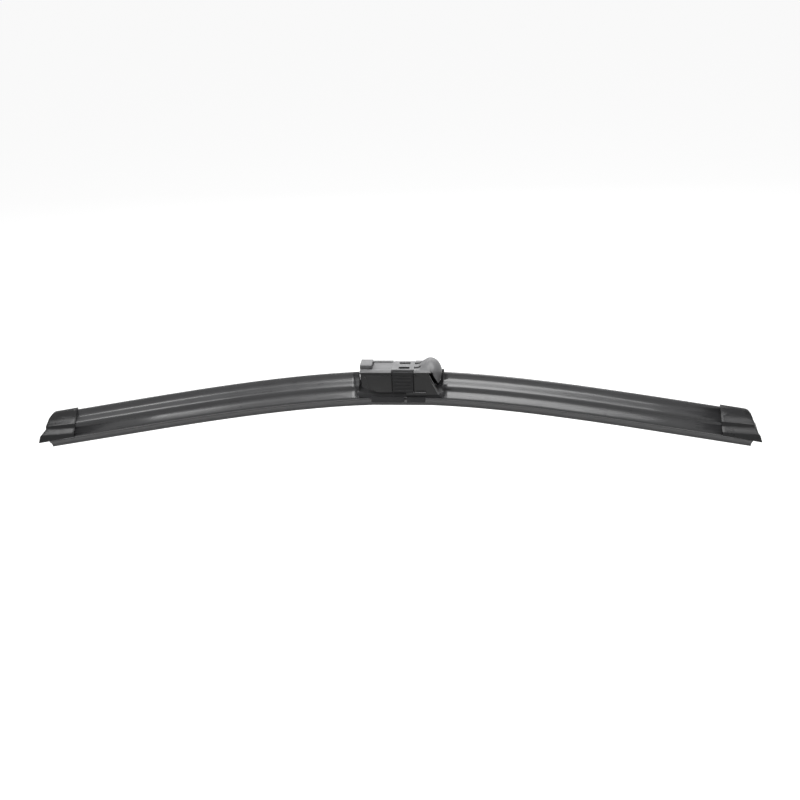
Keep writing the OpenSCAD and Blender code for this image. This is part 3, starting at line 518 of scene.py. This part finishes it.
def camera_axes():
    """The camera's right, top and forward directions."""
    elevation = math.radians(CAMERA_ELEVATION)
    yaw = math.radians(CAMERA_YAW)
    roll = math.radians(CAMERA_ROLL)
    side = Vector((math.cos(yaw), math.sin(yaw), 0.0))
    level = Vector((-math.sin(yaw), math.cos(yaw), 0.0))
    ahead = level * math.cos(elevation) - Vector((0.0, 0.0, math.sin(elevation)))
    upward = side.cross(ahead)
    right = side * math.cos(roll) + upward * math.sin(roll)
    top = upward * math.cos(roll) - side * math.sin(roll)
    return right, top, ahead


def place_camera():
    """Camera at the photograph's angle, from the front and a little above."""
    right, top, ahead = camera_axes()
    spot = Vector(CAMERA_TARGET) - ahead * CAMERA_DISTANCE
    data = bpy.data.cameras.new("camera")
    data.sensor_width = 36.0
    data.lens = CAMERA_LENS
    data.clip_start = 0.02
    data.clip_end = 40.0
    camera = bpy.data.objects.new("camera", data)
    bpy.context.scene.collection.objects.link(camera)
    camera.matrix_world = Matrix((
        (right.x, top.x, -ahead.x, spot.x),
        (right.y, top.y, -ahead.y, spot.y),
        (right.z, top.z, -ahead.z, spot.z),
        (0.0, 0.0, 0.0, 1.0)))
    bpy.context.scene.camera = camera


def area_light(name, spot, aim, width, depth, power):
    """A rectangular soft lamp that looks at a point."""
    data = bpy.data.lights.new(name, "AREA")
    data.shape = "RECTANGLE"
    data.size = width
    data.size_y = depth
    data.energy = power
    lamp = bpy.data.objects.new(name, data)
    bpy.context.scene.collection.objects.link(lamp)
    lamp.location = spot
    lamp.rotation_euler = (Vector(aim) - Vector(spot)).to_track_quat("-Z", "Y").to_euler()


def make_lights():
    area_light("top_softbox", (0.045, -0.13, 0.48), (0.02, 0.0, -0.02), 0.40, 0.50, 6.4)
    area_light("rear_softbox", (-0.05, 0.80, 0.42), (0.0, 0.0, -0.01), 0.9, 0.35, 3.4)
    area_light("left_softbox", (-0.42, -0.12, 0.37), (-0.22, 0.0, -0.03), 0.14, 0.12, 1.0)
    area_light("right_softbox", (0.39, -0.08, 0.42), (0.20, 0.0, -0.03), 0.15, 0.16, 0.6)


def shows_white(nodes, links):
    """One for rays from the camera, and for those that a gloss or a clear piece sends on."""
    path = nodes.new("ShaderNodeLightPath").outputs
    seen = math_node(nodes, links, "MAXIMUM", path["Is Camera Ray"], path["Is Transmission Ray"])
    return math_node(nodes, links, "MAXIMUM", seen, path["Is Glossy Ray"])


def make_world():
    """White where it is seen, and a dim fill light elsewhere."""
    world = bpy.data.worlds.new("studio")
    bpy.context.scene.world = world
    world.use_nodes = True
    nodes, links = world.node_tree.nodes, world.node_tree.links
    nodes.clear()
    output = nodes.new("ShaderNodeOutputWorld")
    backdrop = nodes.new("ShaderNodeBackground")
    backdrop.inputs["Color"].default_value = WHITE
    strength = math_node(nodes, links, "MAXIMUM", shows_white(nodes, links), FILL_LIGHT)
    links.new(strength, backdrop.inputs["Strength"])
    links.new(backdrop.outputs["Background"], output.inputs["Surface"])


def make_floor_paper():
    """Pale paper that takes shadows, with a glow only where it is seen."""
    material = bpy.data.materials.new("white_floor")
    material.use_nodes = True
    nodes, links = material.node_tree.nodes, material.node_tree.links
    nodes.clear()
    output = nodes.new("ShaderNodeOutputMaterial")
    paper = nodes.new("ShaderNodeBsdfDiffuse")
    paper.inputs["Color"].default_value = (FLOOR_COLOUR, FLOOR_COLOUR, FLOOR_COLOUR, 1.0)
    glow = nodes.new("ShaderNodeEmission")
    glow.inputs["Color"].default_value = WHITE
    strength = math_node(nodes, links, "MULTIPLY", shows_white(nodes, links), FLOOR_GLOW)
    links.new(strength, glow.inputs["Strength"])
    both = nodes.new("ShaderNodeAddShader")
    links.new(paper.outputs["BSDF"], both.inputs[0])
    links.new(glow.outputs["Emission"], both.inputs[1])
    links.new(both.outputs["Shader"], output.inputs["Surface"])
    return material


def make_floor():
    bpy.ops.mesh.primitive_plane_add(size=FLOOR_SIZE, location=FLOOR_CENTRE)
    floor = bpy.context.active_object
    floor.name = "floor"
    floor.data.materials.append(make_floor_paper())


bpy.context.scene.view_settings.view_transform = "Standard"
place_camera()
make_world()
make_floor()
make_lights()
make_blade()
for side in ("left", "right"):
    make_cap(side)
make_adapter()
for side in ("front", "rear"):
    make_button(side)
make_cover()
dress_plain_nodes()
